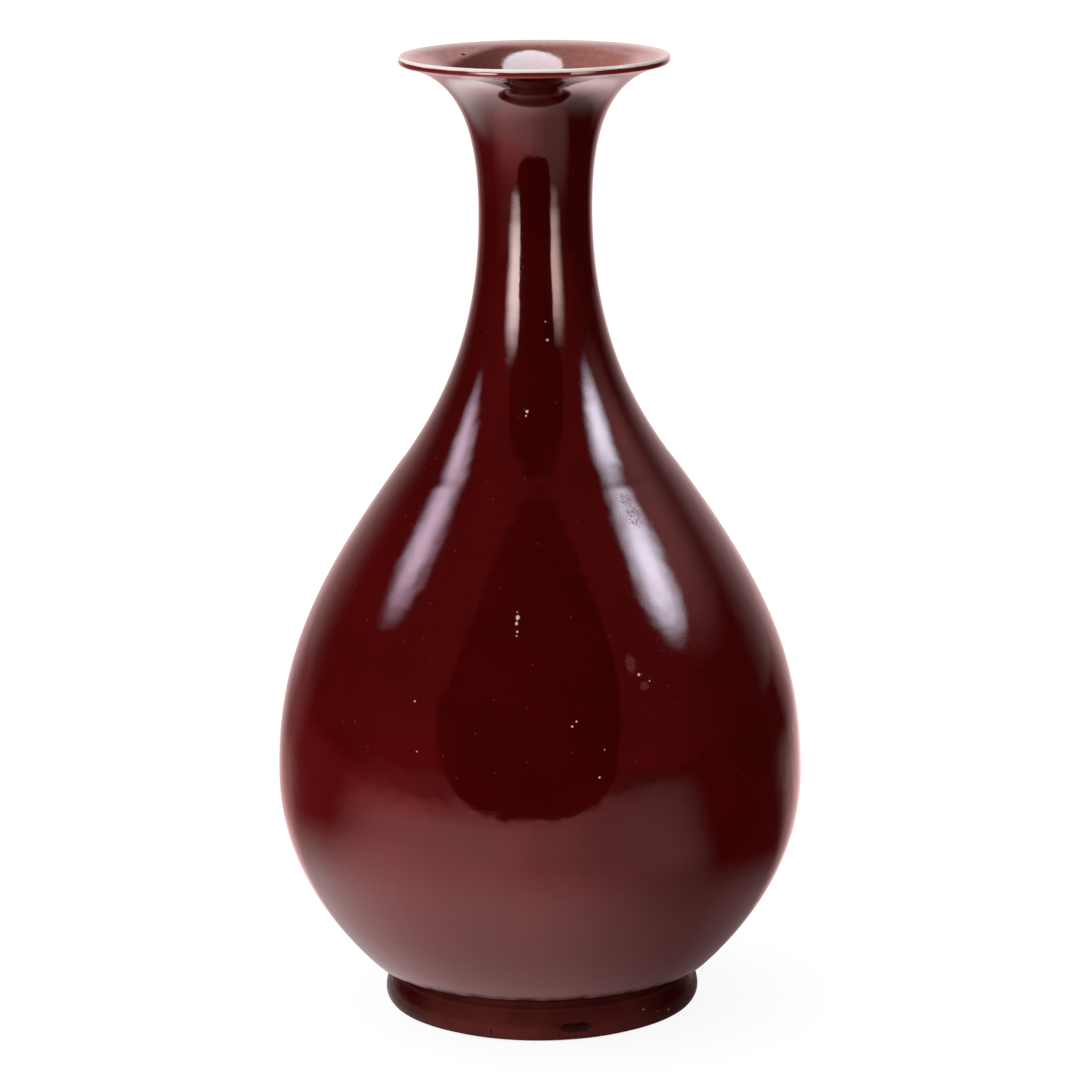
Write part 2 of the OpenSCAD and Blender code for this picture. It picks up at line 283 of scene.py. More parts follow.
def outer_path(s):
    """Finished outside from the glaze's edge on the toe to the pale band on the lip's outer face."""
    part = stretches(s)
    t = np.linspace(0, 1, 400)
    raw = np.concatenate([part["toe"]] + [along(part[name], t) for name in
                         ("foot", "cove", "tuck", "lower_belly", "upper_belly", "lower_neck", "mouth")]
                         + [part["lip_under"], part["lip_joint"]])
    return softened(respaced(raw, OUTER_STEP), FIRED_EDGE, OUTER_STEP)


def wall_inside(handles, first, last, t):
    """Inside of a wall: the outline moved in by a thickness that eases from one value to the other."""
    share = t * t * (3 - 2 * t)
    return along(handles, t) - (first + (last - first) * share)[:, None] * outward(handles, t)


def band_end(s, part):
    """Share of the mouth's stretch at which the pale band ends on the inside."""
    return 1 - s.lip_band / np.linalg.norm(part["mouth"][3] - part["mouth"][0])


def lip_path(s):
    """Finished lip from the red on its outer face over the top and down to the end of the pale band."""
    part = stretches(s)
    t = np.linspace(1, band_end(s, part), 40)
    inner = wall_inside(part["mouth"], WALLS["neck"], s.lip_t, t)
    return respaced(np.concatenate([part["lip_joint"], part["lip_top"], inner]), LIP_STEP)


def hollow_path(s):
    """Finished inside from the pale band down the neck and the belly to the middle of the floor."""
    part = stretches(s)
    down = np.linspace(1, 0, 240)
    mouth = wall_inside(part["mouth"], WALLS["neck"], s.lip_t, band_end(s, part) * down)
    neck = wall_inside(part["lower_neck"], WALLS["shoulder"], WALLS["neck"], down)
    upper = wall_inside(part["upper_belly"], WALLS["belly"], WALLS["shoulder"], down)
    lower = wall_inside(part["lower_belly"], WALLS["base"], WALLS["belly"],
                        FLOOR_CURVE + (1 - FLOOR_CURVE) * down)
    way = outward(part["lower_belly"], np.array([FLOOR_CURVE]))[0]
    slope = np.degrees(np.arctan2(way[0], -way[1]))
    bowl = along(level_stretch((0, s.floor_z), lower[-1], slope), down)
    return respaced(np.concatenate([mouth, neck, upper, lower, bowl]), HOLLOW_STEP)


def path_normals(path):
    """Unit normals of a path from its central differences."""
    return right_of(np.gradient(path, axis=0))


def thinned(path, fine, coarse, edges, reach):
    """Rows picked from a dense path: fine steps near the edge heights, coarse steps away from them."""
    walk = walked(path)
    away = np.min(np.abs(path[:, 1][:, None] - np.asarray(edges)[None, :]), axis=1)
    step = fine + (coarse - fine) * np.clip(away / reach, 0, 1) ** 1.5
    rank = np.concatenate([[0], np.cumsum(np.diff(walk) / (0.5 * (step[1:] + step[:-1])))])
    rows = np.interp(np.linspace(0, rank[-1], int(np.ceil(rank[-1])) + 1), rank, np.arange(len(path)))
    return np.unique(np.round(rows).astype(int))


def waves(table, angle, z):
    """Sum of sines: a row has a height, the waves round the axis, their turn for each metre up, a start."""
    return sum(height * np.sin(around * angle + up * z + start) for height, around, up, start in table)


def throwing_marks(angle, z, s):
    """Depth of the wheel's and the hand's marks, the wobble times a sum: slow waves round and up the wall,
    faded out at the foot and the lip and slighter on the neck; a hollow above and one below the ridge of the
    shoulder, each a tanh of the distance from it, rounded at the crest, that dies away with height and
    towards the front and the back; and quick waves along the glaze's rim over the groove. Nothing rises above
    the outline."""
    foot_fade = np.clip((z - 20 * MM) / (30 * MM), 0, 1)
    lip_fade = np.clip((s.height - 12 * MM - z) / (50 * MM), 0, 1)
    slim = 1 - 0.75 * np.clip((z - 170 * MM) / (60 * MM), 0, 1)
    wall = slim * foot_fade * lip_fade * (0.5 + 0.5 * waves(WALL_WAVES, angle, z))
    off = z - s.ridge_z
    crest = np.hypot(off, 1.2 * MM)
    above, below = (crest + off) / 2, (crest - off) / 2
    hollows = (1.9 * np.tanh(above / (3.2 * MM)) * np.exp(-above / (25 * MM))
               + 0.5 * np.tanh(below / (1.6 * MM)) * np.exp(-below / (12 * MM)))
    sides = np.clip(3 * np.cos(angle) ** 2, 0, 1)
    rim = np.exp(-((z - s.body_edge_z) / (1.5 * MM)) ** 2)
    drips = rim * (0.5 + 0.5 * waves(RIM_WAVES, angle, z))
    return s.wobble * (wall + sides * hollows + 0.8 * drips)


def lathe_grid(path, normals, columns, depth=None):
    """Points of a path carried round the axis; depth(angle, z) sinks the surface along its normals."""
    angle = np.linspace(0, 2 * pi, columns, endpoint=False)[None, :]
    r, z = path[:, 0][:, None], path[:, 1][:, None]
    nr, nz = normals[:, 0][:, None], normals[:, 1][:, None]
    sink = np.zeros((len(path), columns)) if depth is None else depth(angle, z + 0 * angle)
    radius = r - sink * nr
    return np.stack([radius * np.cos(angle), radius * np.sin(angle), z + 0 * angle - sink * nz], axis=-1)


def grid_normals(points):
    """Unit normals of a grid from the cross product of its central differences; columns wrap round."""
    around = np.roll(points, -1, axis=1) - np.roll(points, 1, axis=1)
    return normalised(np.cross(around, np.gradient(points, axis=0)))


def ring_faces(rows, columns, wrap):
    """Quads of a grid whose columns wrap round, and whose rows do too if wrap is set."""
    low = np.arange(rows if wrap else rows - 1)
    high = (low + 1) % rows
    j = np.arange(columns)
    k = (j + 1) % columns
    return np.stack([low[:, None] * columns + j, low[:, None] * columns + k,
                     high[:, None] * columns + k, high[:, None] * columns + j], axis=-1).reshape(-1, 4)


def mesh_object(name, points, quads, triangles=None):
    """Mesh object at the origin from arrays of points, quads and triangles, smooth all over."""
    mesh = bpy.data.meshes.new(name)
    triangles = np.zeros((0, 3), int) if triangles is None else triangles
    mesh.vertices.add(len(points))
    mesh.vertices.foreach_set("co", np.ascontiguousarray(points, np.float32).ravel())
    corners = np.concatenate([quads.ravel(), triangles.ravel()])
    sizes = np.concatenate([np.full(len(quads), 4), np.full(len(triangles), 3)])
    mesh.loops.add(len(corners))
    mesh.loops.foreach_set("vertex_index", corners.astype(np.int32))
    mesh.polygons.add(len(sizes))
    mesh.polygons.foreach_set("loop_start", (np.cumsum(sizes) - sizes).astype(np.int32))
    mesh.polygons.foreach_set("use_smooth", np.ones(len(sizes), bool))
    mesh.update(calc_edges=True)
    mesh.validate()
    obj = bpy.data.objects.new(name, mesh)
    bpy.context.scene.collection.objects.link(obj)
    return obj


def corner_normals(normals):
    """Normals of the four corners of every quad of a grid, in the order that ring_faces has them."""
    turned = np.roll(normals, -1, axis=1)
    return np.stack([normals[:-1], turned[:-1], turned[1:], normals[1:]], axis=2).reshape(-1, 3)


def coat_shell(name, face, face_normals, back, poles=None):
    """Closed coat as one welded grid: its back from end to start, then its face from start to end. Without
    poles the rows wrap round; with poles the two ends are fans about the points of face and back on the axis.
    The face keeps its own normals and each edge is flat, so that two coats meet without a shadow."""
    columns = face.shape[1]
    points = np.concatenate([back[::-1], face]).reshape(-1, 3)
    quads = ring_faces(len(face) + len(back), columns, poles is None)
    normals = [-grid_normals(back)[::-1], flat_normals(np.stack([back[0], face[0]])), face_normals]
    if poles is None:
        normals.append(flat_normals(np.stack([face[-1], back[-1]])))
    normals = [corner_normals(block) for block in normals]
    fans = None
    if poles is not None:
        j = np.arange(columns)
        k = (j + 1) % columns
        last = len(points) - columns
        fans = np.concatenate([np.stack([last + j, last + k, np.full(columns, len(points))], axis=-1),
                               np.stack([k, j, np.full(columns, len(points) + 1)], axis=-1)])
        points = np.concatenate([points, poles])
        normals.append(np.repeat([(0.0, 0.0, 1.0), (0.0, 0.0, -1.0)], 3 * columns, axis=0))
    obj = mesh_object(name, points, quads, fans)
    obj.data.normals_split_custom_set(np.concatenate(normals))
    return obj


def flat_normals(strip):
    """Normals of a two-row strip: the cross product of its way round and its way across."""
    around = np.roll(strip, -1, axis=1) - np.roll(strip, 1, axis=1)
    return normalised(np.cross(around, np.stack([strip[1] - strip[0]] * 2)))


def feed(tree, socket, value):
    """Links a socket, or sets its value."""
    if isinstance(value, bpy.types.NodeSocket):
        tree.links.new(value, socket)
    else:
        socket.default_value = value


def fill(tree, made, sockets):
    """Feeds a node's sockets by name, with an underscore for each space."""
    for key, value in sockets.items():
        feed(tree, made.inputs[key.replace("_", " ")], value)
    return made


def add(tree, kind, **sockets):
    """A node with its sockets filled in."""
    return fill(tree, tree.nodes.new(kind), sockets)


def placed(tree, inner, **sockets):
    """Outputs of a node group placed in a tree with its own values."""
    made = tree.nodes.new("ShaderNodeGroup")
    made.node_tree = inner
    return fill(tree, made, sockets).outputs


def maths(tree, operation, first, second=0.0):
    """Result of a Math node."""
    made = tree.nodes.new("ShaderNodeMath")
    made.operation = operation
    feed(tree, made.inputs[0], first)
    feed(tree, made.inputs[1], second)
    return made.outputs[0]


def times(tree, first, second):
    """Product of two values."""
    return maths(tree, "MULTIPLY", first, second)


def plus(tree, first, second):
    """Sum of two values."""
    return maths(tree, "ADD", first, second)


def larger(tree, first, second):
    """The larger of two values."""
    return maths(tree, "MAXIMUM", first, second)


def ramp(tree, value, low, high, to_low=0.0, to_high=1.0, smooth=True):
    """A value taken smoothly from one range to another."""
    made = tree.nodes.new("ShaderNodeMapRange")
    made.interpolation_type = "SMOOTHSTEP" if smooth else "LINEAR"
    for socket, entry in zip(made.inputs, (value, low, high, to_low, to_high)):
        feed(tree, socket, entry)
    return made.outputs[0]


def vectors(tree, operation, first, second=None):
    """Result of a Vector Math node: a number for a length or a dot product, else a vector."""
    made = tree.nodes.new("ShaderNodeVectorMath")
    made.operation = operation
    feed(tree, made.inputs[0], first)
    if second is not None:
        feed(tree, made.inputs[1], second)
    return made.outputs["Value" if operation in ("LENGTH", "DOT_PRODUCT") else "Vector"]


def rgba(value):
    """A colour with full opacity."""
    return (*value, 1.0)


def scaled(value, share):
    """A colour times a share."""
    return [share * v for v in value]


def blend(tree, share, first, second):
    """Mix of two colours by a share; each is a socket or a plain colour."""
    made = tree.nodes.new("ShaderNodeMix")
    made.data_type = "RGBA"
    feed(tree, made.inputs[0], share)
    for slot, value in ((6, first), (7, second)):
        feed(tree, made.inputs[slot], value if isinstance(value, bpy.types.NodeSocket) else rgba(value))
    return made.outputs[2]


def layered(tree, tone, *layers):
    """A colour with others laid over it in turn, each by its own mask."""
    for mask, over in layers:
        tone = blend(tree, mask, tone, over)
    return tone


def own_place(tree):
    """The object's own coordinates."""
    return add(tree, "ShaderNodeTexCoord").outputs["Object"]


def axis(tree, vector, letter):
    """One of a vector's three numbers."""
    return add(tree, "ShaderNodeSeparateXYZ", Vector=vector).outputs[letter]


def noise(tree, here, scale, detail, roughness=0.5):
    """Value of a noise at a place."""
    return add(tree, "ShaderNodeTexNoise", Vector=here, Scale=scale, Detail=detail,
               Roughness=roughness).outputs["Fac"]


def dots(tree, here, scale, chance, reach):
    """Round dots in the cells of a Voronoi texture: in cells with a high chance, fading over a reach."""
    cells = add(tree, "ShaderNodeTexVoronoi", Vector=here, Scale=scale).outputs
    luck = add(tree, "ShaderNodeSeparateColor", Color=cells["Color"]).outputs["Red"]
    return times(tree, ramp(tree, luck, *chance), ramp(tree, cells["Distance"], *reach, 1.0, 0.0))


def group(name, inputs, outputs):
    """An empty shader node group with named float and vector sockets, with its two end nodes."""
    tree = bpy.data.node_groups.new(name, "ShaderNodeTree")
    for label, kind, value in inputs:
        socket = tree.interface.new_socket(label, in_out="INPUT", socket_type=kind)
        socket.default_value = value
    for label in outputs:
        tree.interface.new_socket(label, in_out="OUTPUT", socket_type="NodeSocketFloat")
    return tree, tree.nodes.new("NodeGroupInput"), tree.nodes.new("NodeGroupOutput")


def spot_group():
    """Soft spot at a place on the vase, with a ragged edge: one at its middle and nothing past its radius."""
    tree, ins, outs = group("Glaze spot", [("Place", "NodeSocketVector", (0, 0, 0)),
                                           ("Radius", "NodeSocketFloat", MM),
                                           ("Tall", "NodeSocketFloat", 1.0)], ["Mask"])
    here = own_place(tree)
    apart = vectors(tree, "SUBTRACT", here, ins.outputs["Place"])
    split = add(tree, "ShaderNodeSeparateXYZ", Vector=apart).outputs
    squeezed = add(tree, "ShaderNodeCombineXYZ", X=split["X"], Y=split["Y"],
                   Z=maths(tree, "DIVIDE", split["Z"], ins.outputs["Tall"])).outputs[0]
    share = maths(tree, "DIVIDE", vectors(tree, "LENGTH", squeezed), ins.outputs["Radius"])
    ragged = times(tree, maths(tree, "SUBTRACT", noise(tree, here, 1400.0, 2.0), 0.5), 1.1)
    feed(tree, outs.inputs["Mask"], ramp(tree, plus(tree, share, ragged), 0.55, 1.0, 1.0, 0.0))
    return tree


def fleck_group():
    """Fired glaze: slow clouds, fine mottling, sparse pale flecks, pits and an orange-peel height."""
    tree, ins, outs = group("Fired glaze", [("Cloud scale", "NodeSocketFloat", 28.0),
                                            ("Mottle scale", "NodeSocketFloat", 700.0),
                                            ("Fleck scale", "NodeSocketFloat", 330.0)],
                            ["Cloud", "Mottle", "Fleck", "Pit", "Height"])
    here = own_place(tree)
    cloud = noise(tree, here, ins.outputs["Cloud scale"], 4.0, 0.6)
    mottle = noise(tree, here, ins.outputs["Mottle scale"], 3.0, 0.65)
    results = {"Cloud": ramp(tree, cloud, 0.35, 0.68), "Mottle": ramp(tree, mottle, 0.38, 0.66),
               "Fleck": dots(tree, here, ins.outputs["Fleck scale"], (0.955, 0.965), (0.10, 0.24)),
               "Pit": dots(tree, here, 1150.0, (0.5, 0.6), (0.08, 0.3)),
               "Height": noise(tree, here, 420.0, 1.0)}
    fill(tree, outs, results)
    return tree


def material(name):
    """An empty node material, its tree and its Principled shader."""
    made = bpy.data.materials.new(name)
    made.use_nodes = True
    tree = made.node_tree
    return made, tree, next(n for n in tree.nodes if n.type == "BSDF_PRINCIPLED")


def fired_surface(tree, shader, tone, rough, height, strength, distance=0.3 * MM):
    """Feeds a shader its colour, its roughness and the bumps of a height."""
    bump = add(tree, "ShaderNodeBump", Strength=strength, Distance=distance, Height=height)
    fill(tree, shader, {"Base Color": tone, "Roughness": rough, "Normal": bump.outputs["Normal"]})


PINHOLES = [  # place in millimetres, radius, height over width
    ((-6.4, -64.8, 139.2), 0.75, 1.3), ((-6.7, -65.6, 137.6), 0.55, 1.2), ((-6.5, -66.8, 135.4), 0.45, 1.0),
    ((-6.7, -67.4, 134.2), 0.3, 1.0), ((-6.5, -64.0, 140.8), 0.28, 1.0),
    ((9.6, -77.3, 108.8), 0.4, 1.0), ((10.9, -76.7, 110.2), 0.42, 1.0),
    ((17.6, -79.0, 93.5), 0.36, 1.0), ((19.2, -77.2, 101.6), 0.28, 1.0),
    ((-37.4, -66.4, 114.2), 0.36, 1.0), ((-36.9, -70.9, 99.8), 0.3, 1.0),
    ((-3.1, -29.6, 195.0), 0.5, 1.2), ((-3.4, -30.2, 193.7), 0.35, 1.0),
    ((3.3, -21.9, 215.5), 0.5, 1.2), ((2.8, -20.6, 221.0), 0.3, 1.0),
    ((29.7, -67.1, 122.0), 0.55, 1.0), ((32.9, -66.5, 119.8), 0.3, 1.0),
]
SCARS = [((27.3, -66.7, 125.4), 2.0, 2.0), ((31.4, -67.9, 118.6), 1.7, 0.9)]
SCUFFS = [((28.9, -39.6, 165.0), 3.8, 1.5), ((26.8, -37.6, 168.8), 2.8, 1.3)]
FOOT_MARKS = [((10.3, -48.3, 5.2), 6.8, 0.28), ((-15.8, -46.8, 3.4), 0.32, 4.5),
              ((5.3, -49.0, 3.3), 0.3, 4.5), ((-3.7, -49.1, 2.7), 0.25, 4.0)]
FOOT_SPECKS = [((31.4, -37.5, 7.2), 0.55, 0.8), ((39.4, -29.8, 4.6), 0.6, 0.8),
               ((35.9, -33.9, 5.3), 0.4, 0.8)]
NICKS = [((-21.9, 24.3, 297.4), 0.9, 0.6)]


def shared(name, maker):
    """A node group by name, made the first time it is asked for."""
    return bpy.data.node_groups.get(name) or maker()


def fired_glaze(tree, cloud, mottle, fleck):
    """Outputs of the fired glaze's group, with the scales of its clouds, mottling and flecks."""
    return placed(tree, shared("Fired glaze", fleck_group), Cloud_scale=cloud, Mottle_scale=mottle,
                  Fleck_scale=fleck)


def widest(tree, marks):
    """The largest mask of a list of spots."""
    total = 0.0
    for place, radius, tall in marks:
        spot = placed(tree, shared("Glaze spot", spot_group), Place=scaled(place, MM), Radius=radius * MM,
                      Tall=tall)
        total = larger(tree, total, spot["Mask"])
    return total


def line_at(tree, z, height, half):
    """One at a height and falling to nothing at half a width above and below it."""
    away = maths(tree, "ABSOLUTE", maths(tree, "SUBTRACT", z, height))
    return ramp(tree, away, 0.0, half, 1.0, 0.0)


def from_axis(tree, here):
    """Distance from the vase's axis."""
    return vectors(tree, "LENGTH", vectors(tree, "MULTIPLY", here, (1.0, 1.0, 0.0)))


def red_glaze(s, c):
    """Copper-red glaze: clouds of deep red, drawn thin at the edge of the lip, with pinholes, scars and
    scuffs; painted shade darkens it up the neck and along the lower edge of the body, and the pinholes
    carry a painted glint."""
    made, tree, shader = material("Copper red glaze")
    here = own_place(tree)
    z = axis(tree, here, "Z")
    fired = fired_glaze(tree, 26.0, 620.0, 520.0)
    grain = noise(tree, here, 1700.0, 2.0)
    pinholes_and_glints, scars, scuffs = (widest(tree, marks) for marks in (PINHOLES, SCARS, SCUFFS))
    scuffs = times(tree, scuffs, ramp(tree, grain, 0.42, 0.58))
    # Painted shade: the red darkens from the shoulder up the neck; a random mottle is added to it.
    painted_shade_and_clouds = plus(tree, ramp(tree, z, 140 * MM, 200 * MM, 0.0, 0.25), times(tree, fired["Mottle"], 0.12))
    brink = times(tree, line_at(tree, z, s.height - 2.5 * MM, 0.5 * MM),
                  ramp(tree, from_axis(tree, here), s.mouth_d / 2 - 1.2 * MM, s.mouth_d / 2 - 0.8 * MM))
    tone = layered(
        tree, blend(tree, fired["Cloud"], c.deep_red, c.warm_red),
        # painted shade up the neck, a quarter of the deep red
        (painted_shade_and_clouds, scaled(c.deep_red, 0.25)),
        # Painted shade along the lower edge of the body, where it overhangs the groove.
        (ramp(tree, z, s.body_edge_z + 1.5 * MM, s.body_edge_z), c.dark_drops_and_shade),
        (ramp(tree, z, s.height - 3.2 * MM, s.height - 2.2 * MM), c.edge_red),
        (larger(tree, brink, times(tree, fired["Fleck"], 0.20)), c.thin_red_and_highlight),
        (times(tree, larger(tree, scars, scuffs), 0.3), c.scar),
        # Pale pinholes: porcelain showing in them, partly a painted glint in the pits.
        (times(tree, pinholes_and_glints, 0.8), c.pinhole_and_glint))
    dull = larger(tree, times(tree, scuffs, 0.7), times(tree, fired["Pit"], 0.3))
    rough = plus(tree, plus(tree, 0.055, times(tree, fired["Mottle"], 0.03)), times(tree, dull, 0.4))
    depth = plus(tree, times(tree, fired["Height"], 0.07), times(tree, grain, 0.06))
    depth = plus(tree, depth, times(tree, noise(tree, here, 130.0, 1.0), 0.9))
    fired_surface(tree, shader, tone, rough, maths(tree, "SUBTRACT", depth, pinholes_and_glints), 0.35)
    shader.inputs["Specular IOR Level"].default_value = 1.0
    shader.inputs["Specular Tint"].default_value = (1.0, 0.55, 0.55, 1.0)
    return made


def foot_glaze(s, c):
    """Thin brown-red glaze of the foot: duller, with painted shade towards the sides and a pale line along
    its upper edge that is thin glaze and partly a painted highlight, with a dark drop, cracks and specks."""
    made, tree, shader = material("Foot glaze")
    here = own_place(tree)
    x, z = axis(tree, here, "X"), axis(tree, here, "Z")
    fired = fired_glaze(tree, 45.0, 620.0, 300.0)
    # Painted shade: the foot darkens towards its two sides.
    ends = larger(tree, ramp(tree, x, -28 * MM, -42 * MM), ramp(tree, x, 24 * MM, 42 * MM))
    painted_shade_and_clouds = larger(tree, times(tree, fired["Cloud"], 0.55), ends)
    tone = layered(
        tree, blend(tree, painted_shade_and_clouds, c.brown_red, scaled(c.deep_red, 0.7)),
        # Pale line along the upper edge of the foot: thin glaze and, partly, a painted highlight.
        (times(tree, line_at(tree, z, s.foot_edge_z, 0.7 * MM), 0.1), c.thin_red_and_highlight),
        (times(tree, widest(tree, FOOT_SPECKS), 0.5), c.burnt),
        (times(tree, widest(tree, FOOT_MARKS), 0.9), c.dark_drops_and_shade))
    rough = ramp(tree, fired["Mottle"], 0.0, 1.0, 0.18, 0.26)
    fired_surface(tree, shader, tone, rough, fired["Height"], 0.3)
    shader.inputs["Specular IOR Level"].default_value = 0.08
    return made


def lip_glaze(s, c):
    """Clear glaze on white porcelain: white on the lip, pink towards the inside, red below its edge."""
    made, tree, shader = material("Pale lip glaze")
    here = own_place(tree)
    fired = fired_glaze(tree, 90.0, 900.0, 400.0)
    out = from_axis(tree, here)
    brow = s.mouth_d / 2 - s.lip_round
    drop = plus(tree, axis(tree, here, "Z"), times(tree, fired["Cloud"], 0.15 * MM))
    red = times(tree, ramp(tree, drop, s.height - 0.7 * MM, s.height - 0.95 * MM),
                ramp(tree, out, brow, s.mouth_d / 2))
    tone = layered(
        tree, blend(tree, ramp(tree, out, brow - s.lip_band, brow - 0.4 * MM), c.band_pink, c.lip_pink),
        (ramp(tree, out, brow - 0.6 * MM, brow + 0.3 * MM), c.lip_white),
        (red, c.edge_red),
        (times(tree, fired["Mottle"], 0.06), c.band_pink))
    rough = ramp(tree, fired["Cloud"], 0.0, 1.0, 0.10, 0.17)
    fired_surface(tree, shader, tone, rough, fired["Height"], 0.2, 0.2 * MM)
    return made


def hollow_glaze(s, c):
    """Thin glaze inside: pink under the lip, with painted shade on the left of the mouth and painted light on
    its right, mottled, and brown with painted shade further down the neck, with a nick.
    """
    made, tree, shader = material("Hollow glaze")
    here = own_place(tree)
    x, z = axis(tree, here, "X"), axis(tree, here, "Z")
    fired = fired_glaze(tree, 60.0, 520.0, 320.0)
    ragged = plus(tree, from_axis(tree, here), times(tree, fired["Cloud"], -0.6 * MM))
    ragged = plus(tree, ragged, ramp(tree, x, -10 * MM, -30 * MM, -1.2 * MM, 6.0 * MM))
    ragged = plus(tree, ragged, ramp(tree, x, 14 * MM, 36 * MM, 0.0, 4.0 * MM))
    inner = s.mouth_d / 2 - s.lip_round - s.lip_band
    tone = layered(
        # Painted light and shade: the inside of the mouth is dark on the left and lit pink on the right.
        tree, blend(tree, ramp(tree, x, -18 * MM, 30 * MM), c.hollow_painted_shade, c.hollow_pink),
        # Painted shade: browner and darker further down inside the neck.
        (ramp(tree, z, s.height - 9 * MM, s.height - 34 * MM), c.hollow_brown_and_shade),
        (ramp(tree, ragged, inner - 4.5 * MM, inner - 0.5 * MM), c.band_pink),
        (times(tree, fired["Mottle"], 0.22), c.hollow_brown_and_shade),
        (times(tree, fired["Fleck"], 0.30), c.lip_pink),
        (widest(tree, NICKS), c.hollow_brown_and_shade))
    rough = ramp(tree, fired["Mottle"], 0.0, 1.0, 0.07, 0.11)
    fired_surface(tree, shader, tone, rough, fired["Height"], 0.06)
    shader.inputs["Specular IOR Level"].default_value = 1.0
    return made


def base_glaze(c):
    """Clear ivory glaze under the base, clouded, with a few brown specks."""
    made, tree, shader = material("Base glaze")
    fired = fired_glaze(tree, 40.0, 480.0, 260.0)
    tone = layered(tree, c.base_ivory, (times(tree, fired["Cloud"], 0.25), c.slip),
                   (times(tree, fired["Fleck"], 0.55), c.burnt))
    rough = ramp(tree, fired["Mottle"], 0.0, 1.0, 0.12, 0.2)
    fired_surface(tree, shader, tone, rough, fired["Height"], 0.3)
    return made


def fired_clay(name, plain, burnt, share):
    """Bare fired clay: matt and grainy, burnt in clouds."""
    made, tree, shader = material(name)
    fired = fired_glaze(tree, 70.0, 1500.0, 500.0)
    tone = layered(tree, plain, (times(tree, fired["Cloud"], share), burnt),
                   (times(tree, fired["Mottle"], 0.18), burnt))
    rough = ramp(tree, fired["Mottle"], 0.0, 1.0, 0.62, 0.8)
    fired_surface(tree, shader, tone, rough, fired["Mottle"], 0.5)
    return made


def finish_piece(obj, made, slot, *nodes):
    """Gives a piece its material and its body, and hides the nodes that it stands for; its slot is not used.
    """
    obj.data.materials.append(made)
    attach(obj, "root")
    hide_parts(*nodes)


def back_rows(rows, step):
    """Every few of a coat's rows, and its last one, for its unseen back."""
    return np.unique(np.append(rows[::step], rows[-1]))


class VASE_OT_outer_coat(bpy.types.Operator):
    """Makes the copper-red coat: shells on the foot, the body and the neck, flush where they meet"""
    bl_idname = "vase.outer_coat"
    bl_label = "Copper-red coat"

    def execute(self, context):
        s, c = context.scene.vase_sizes, context.scene.vase_colours
        path = outer_path(s)
        normals = path_normals(path)
        edges = (s.toe_round, s.foot_edge_z, s.groove_z, s.ridge_z, s.height)
        rows = thinned(path, fine=0.35 * MM, coarse=1.45 * MM, edges=edges, reach=22 * MM)
        face = lathe_grid(path[rows], normals[rows], s.columns, lambda a, z: throwing_marks(a, z, s))
        facing = grid_normals(face)
        low, high = (int(np.argmin(np.abs(path[rows, 1] - z))) for z in (s.groove_z, s.coat_joint_z))
        coat, foot = red_glaze(s, c), foot_glaze(s, c)
        skin = path - s.glaze_t * normals
        for name, part, made in (("foot_coat", slice(0, low + 1), foot),
                                 ("body_coat", slice(low, high + 1), coat),
                                 ("neck_coat", slice(high, len(rows)), coat)):
            kept = back_rows(rows[part], 6)
            back = lathe_grid(skin[kept], normals[kept], s.columns)
            shell = coat_shell(name, face[part], facing[part], back)
            finish_piece(shell, made, "red_glaze", "outer_glaze")
        return {"FINISHED"}


class VASE_OT_lip_coat(bpy.types.Operator):
    """Makes the pale coat over the squared lip"""
    bl_idname = "vase.lip_coat"
    bl_label = "Pale lip"

    def execute(self, context):
        s, c = context.scene.vase_sizes, context.scene.vase_colours
        path = lip_path(s)
        normals = path_normals(path)
        rows = np.unique(np.linspace(0, len(path) - 1, 60).astype(int))
        face = lathe_grid(path[rows], normals[rows], s.columns)
        kept = back_rows(rows, 6)
        back = lathe_grid((path - s.glaze_t * normals)[kept], normals[kept], s.columns)
        shell = coat_shell("lip_coat", face, grid_normals(face), back)
        finish_piece(shell, lip_glaze(s, c), "pale_glaze", "lip_glaze")
        return {"FINISHED"}


class VASE_OT_hollow_coat(bpy.types.Operator):
    """Makes the coat down the inside of the mouth, the neck and the belly"""
    bl_idname = "vase.hollow_coat"
    bl_label = "Hollow coat"

    def execute(self, context):
        s, c = context.scene.vase_sizes, context.scene.vase_colours
        path = hollow_path(s)
        normals = path_normals(path)
        rows = thinned(path, fine=0.6 * MM, coarse=2.4 * MM, edges=(s.height,), reach=50 * MM)
        kept = back_rows(rows, 4)
        skin = path - s.glaze_t * normals
        face = lathe_grid(path[rows][:-1], normals[rows][:-1], s.columns)
        back = lathe_grid(skin[kept][:-1], normals[kept][:-1], s.columns)
        poles = np.array([[0, 0, path[-1, 1]], [0, 0, skin[-1, 1]]])
        shell = coat_shell("hollow_coat", face, grid_normals(face), back, poles)
        finish_piece(shell, hollow_glaze(s, c), "hollow_glaze", "inner_glaze")
        return {"FINISHED"}


class VASE_OT_clay(bpy.types.Operator):
    """Gives the thrown walls, the foot ring, the luting slip and the base their fired finishes"""
    bl_idname = "vase.clay"
    bl_label = "Porcelain and slip"

    def execute(self, context):
        c = context.scene.vase_colours
        porcelain = fired_clay("Bare porcelain", c.porcelain, c.burnt, 0.22)
        slip = fired_clay("Luting slip", c.slip, c.burnt, 0.12)
        base = base_glaze(c)
        finishes = {"foot_ring": porcelain, "lower_body": porcelain, "upper_body": porcelain,
                    "neck": porcelain, "foot_slip": slip, "belly_slip": slip, "neck_slip": slip,
                    "base_glaze": base}
        for name, made in finishes.items():
            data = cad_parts[name].data
            data.materials.clear()
            data.materials.append(made)
        return {"FINISHED"}


